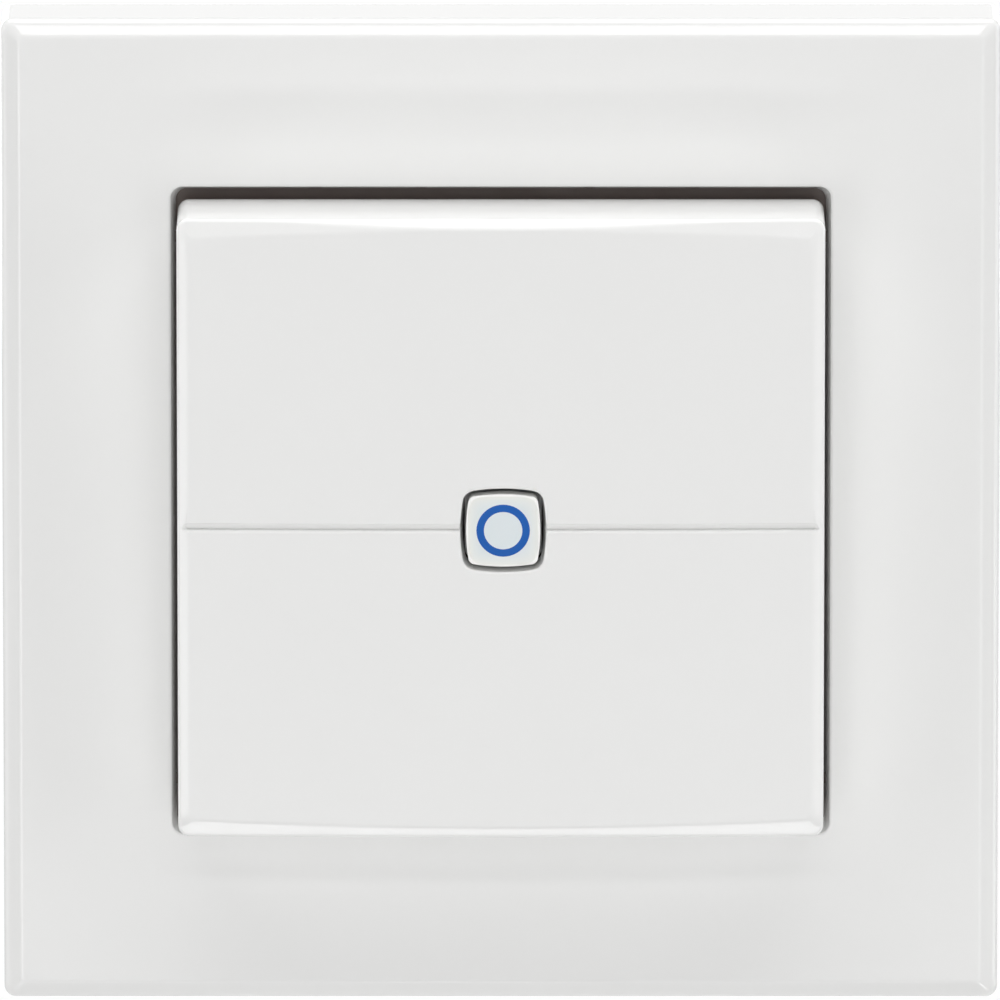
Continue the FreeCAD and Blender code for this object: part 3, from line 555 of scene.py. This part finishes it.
def frame_skin():
    """The cover frame with soft edges; ribs and tabs behind it stay as the solid has them."""
    rings = [at_height(square(FRAME_INNER, OUTER_CORNER), 0.0)]
    rings.append(at_height(square(FRAME_HALF - BACK_EDGE - RIM_STEP, 0.9), 0.0))
    for turn in quarter(4):
        half = FRAME_HALF - BACK_EDGE * (1 - math.sin(turn))
        rings.append(at_height(square(half, OUTER_CORNER), BACK_EDGE * (1 - math.cos(turn))))
    slope = math.atan2(BEVEL_DROP, BEVEL_WIDTH)
    shoulder = FRAME_DEPTH - BEVEL_DROP
    back_off = SHOULDER_EDGE * math.tan((math.pi / 2 - slope) / 2)
    rings.append(at_height(square(FRAME_HALF, OUTER_CORNER), BACK_EDGE + 0.1))
    rings.append(at_height(square(FRAME_HALF, OUTER_CORNER), shoulder - back_off - 0.1))
    for turn in quarter(6, math.pi / 2 - slope):
        inset = SHOULDER_EDGE * (1 - math.cos(turn))
        height = shoulder - back_off + SHOULDER_EDGE * math.sin(turn)
        rings.append(at_height(square(FRAME_HALF - inset, OUTER_CORNER - 0.1 * inset), height))
    first_inset = back_off * math.cos(slope) + 0.1
    first_height = shoulder + first_inset * math.tan(slope)
    rings.append(at_height(square(FRAME_HALF - first_inset, 0.9), first_height))
    step_off = CREST_EDGE * math.tan(slope / 2)
    start = BEVEL_WIDTH - step_off * math.cos(slope)
    start_height = FRAME_DEPTH - step_off * math.sin(slope)
    for step in range(6):
        turn = slope * (1 - step / 5)
        inset = start + CREST_EDGE * (math.sin(slope) - math.sin(turn))
        height = start_height + CREST_EDGE * (math.cos(turn) - math.cos(slope))
        rings.append(at_height(square(FRAME_HALF - inset, CREST_CORNER), height))
    inset += 0.1
    rings.append(at_height(square(FRAME_HALF - inset, 0.55), FRAME_DEPTH))
    for share in (0.33, 0.66):
        half = FRAME_HALF - inset + (OPENING_HALF + OPENING_EDGE - FRAME_HALF + inset) * share
        rings.append(at_height(square(half, CREST_CORNER + 0.5 * share), FRAME_DEPTH))
    rings.append(at_height(square(OPENING_HALF + OPENING_EDGE + 0.08, 1.3), FRAME_DEPTH))
    for turn in quarter(6):
        grow = OPENING_EDGE * (1 - math.sin(turn))
        height = FRAME_DEPTH - OPENING_EDGE * (1 - math.cos(turn))
        rings.append(at_height(square(OPENING_HALF + grow, OUTER_CORNER + grow), height))
    top = FRAME_DEPTH - OPENING_EDGE
    for share in (0.1, 0.5, 1.0):
        height = top + (COLLAR_BACK + COLLAR_EDGE - FRAME_DEPTH + OPENING_EDGE) * share
        rings.append(at_height(square(OPENING_HALF - OPENING_DRAFT * share, OUTER_CORNER), height))
    for turn in quarter(3):
        grow = COLLAR_EDGE * (1 - math.cos(turn)) - OPENING_DRAFT
        height = COLLAR_BACK + COLLAR_EDGE * (1 - math.sin(turn))
        rings.append(at_height(square(OPENING_HALF + grow, OUTER_CORNER + grow), height))
    rings.append(at_height(square(COLLAR_HALF, COLLAR_CORNER), COLLAR_BACK))
    rings.append(at_height(square(COLLAR_HALF, COLLAR_CORNER), HOLLOW_TOP))
    rings.append(at_height(square(FRAME_INNER, OUTER_CORNER), HOLLOW_TOP))
    rings.append(at_height(square(FRAME_INNER, OUTER_CORNER), 0.0))

    near = 0.02

    def inside(x, y, z):
        """True for the solid's ribs and tabs between the collar and the outer wall."""
        reach = max(abs(x), abs(z))
        return COLLAR_HALF + near < reach < FRAME_INNER - near and -y < HOLLOW_TOP - near

    skin("frame_shell", rings, inside, "housing", "frame", "white_frame")


rocker_skin()
frame_skin()
soften("mounting_plate", 0.00025)
soften("housing_base", 0.0002)
soften("housing_cover", 0.0002)


def lamp(name, azimuth, elevation, away, size, radiance):
    """Softbox seen from the object in a direction, with a set brightness of its face."""
    data = bpy.data.lights.new(name, "AREA")
    data.shape = "RECTANGLE"
    data.size, data.size_y = size
    data.energy = radiance * math.pi * size[0] * size[1]
    made = bpy.data.objects.new(name, data)
    bpy.context.collection.objects.link(made)
    turn, rise = math.radians(azimuth), math.radians(elevation)
    way = Vector((math.sin(turn) * math.cos(rise), -math.cos(turn) * math.cos(rise), math.sin(rise)))
    place = way * away
    made.location = place
    made.rotation_euler = (-place).to_track_quat("-Z", "Y").to_euler()
    made.visible_camera = False


# Name, azimuth and elevation in degrees, distance, size and brightness
lamp("softbox_overhead", 0, 93, 1.5, (1.8, 0.5), 5.2)
lamp("softbox_top", 0, 70, 1.5, (1.8, 0.4), 4.4)
lamp("strip_high", 0, 36, 1.6, (1.8, 0.12), 4.0)
lamp("softbox_front", 0, 0, 1.7, (2.2, 1.6), 0.87)
lamp("strip_low", 0, -45, 1.3, (1.2, 0.08), 5.6)
lamp("softbox_under", 0, -86, 0.95, (1.2, 0.35), 0.2)
lamp("softbox_left", -76, 0, 1.4, (1.0, 1.2), 1.5)
lamp("softbox_right", 76, 0, 1.4, (1.0, 1.2), 1.95)
lamp("softbox_far_left", -92, 0, 1.4, (0.4, 1.2), 0.6)
lamp("softbox_far_right", 92, 0, 1.4, (0.4, 1.2), 0.3)
lamp("strip_left", -18, -14, 1.7, (0.3, 0.7), 2.7)
lamp("strip_right", 18, -14, 1.7, (0.3, 0.7), 1.8)
lamp("softbox_back_left", -150, 4, 1.6, (1.2, 0.8), 1.9)
lamp("softbox_back_right", 150, 4, 1.6, (1.2, 0.8), 1.9)


def to_eye(tree):
    """Socket that is 1 for rays to the eye, direct, in gloss or through glass, and 0 for other light."""
    path = tree.nodes.new("ShaderNodeLightPath")
    total = path.outputs["Is Camera Ray"]
    for name in ("Is Glossy Ray", "Is Transmission Ray"):
        either = tree.nodes.new("ShaderNodeMath")
        either.operation = "MAXIMUM"
        tree.links.new(total, either.inputs[0])
        tree.links.new(path.outputs[name], either.inputs[1])
        total = either.outputs[0]
    return total


def backdrop_world():
    """Soft grey daylight; rays to the eye, to gloss and through glass meet plain white."""
    world = bpy.data.worlds.new("studio")
    scene.world = world
    world.use_nodes = True
    tree = world.node_tree
    tree.nodes.clear()
    out = tree.nodes.new("ShaderNodeOutputWorld")
    mix = tree.nodes.new("ShaderNodeMixShader")
    soft = tree.nodes.new("ShaderNodeBackground")
    white = tree.nodes.new("ShaderNodeBackground")
    soft.inputs["Color"].default_value = (1, 1, 1, 1)
    soft.inputs["Strength"].default_value = DAYLIGHT
    white.inputs["Color"].default_value = (1, 1, 1, 1)
    white.inputs["Strength"].default_value = 1.0
    tree.links.new(to_eye(tree), mix.inputs["Fac"])
    tree.links.new(soft.outputs[0], mix.inputs[1])
    tree.links.new(white.outputs[0], mix.inputs[2])
    tree.links.new(mix.outputs[0], out.inputs["Surface"])


backdrop_world()


def ground():
    """Pale floor a metre below, as under a switch on a wall."""
    mesh = bpy.data.meshes.new("floor")
    ways = ((-1, -1), (1, -1), (1, 1), (-1, 1))
    corners = [(FLOOR_HALF * x, FLOOR_HALF * y, FLOOR_LEVEL) for x, y in ways]
    mesh.from_pydata(corners, [], [(0, 1, 2, 3)])
    floor = bpy.data.objects.new("floor", mesh)
    bpy.context.collection.objects.link(floor)
    made = Surface("floor_paper")
    cloud = made.noise(4.0, 3.0)
    made.colour(made.ramp(cloud, srgb(224, 224, 224), srgb(230, 230, 230)))
    made.set("Roughness", 0.8)
    glow = made.nodes.new("ShaderNodeEmission")
    mix = made.nodes.new("ShaderNodeMixShader")
    made.links.new(to_eye(made.material.node_tree), mix.inputs["Fac"])
    made.links.new(made.shader.outputs[0], mix.inputs[1])
    made.links.new(glow.outputs[0], mix.inputs[2])
    made.links.new(mix.outputs[0], made.nodes["Material Output"].inputs["Surface"])
    floor.data.materials.append(made.material)


ground()


def photographer():
    """Long lens from a little above, square to the front, with the frame filling the picture."""
    data = bpy.data.cameras.new("camera")
    data.sensor_width = 36.0
    data.lens = 36.0 * CAMERA_AWAY / PICTURE_WIDTH
    data.clip_start, data.clip_end = 0.05, 50.0
    made = bpy.data.objects.new("camera", data)
    bpy.context.collection.objects.link(made)
    rise = math.radians(CAMERA_RISE)
    up = Vector((0, math.sin(rise), math.cos(rise)))
    shoulder = (FRAME_DEPTH - BEVEL_DROP) * MM
    aim = Vector((AIM_SIDE, 0.0, 0.0)) - up * (0.5 * shoulder * math.sin(rise) - AIM_DROP)
    made.location = aim + Vector((0, -math.cos(rise), math.sin(rise))) * CAMERA_AWAY
    made.rotation_euler = (aim - made.location).to_track_quat("-Z", "Y").to_euler()
    scene.camera = made


photographer()

bpy.context.view_layer.update()
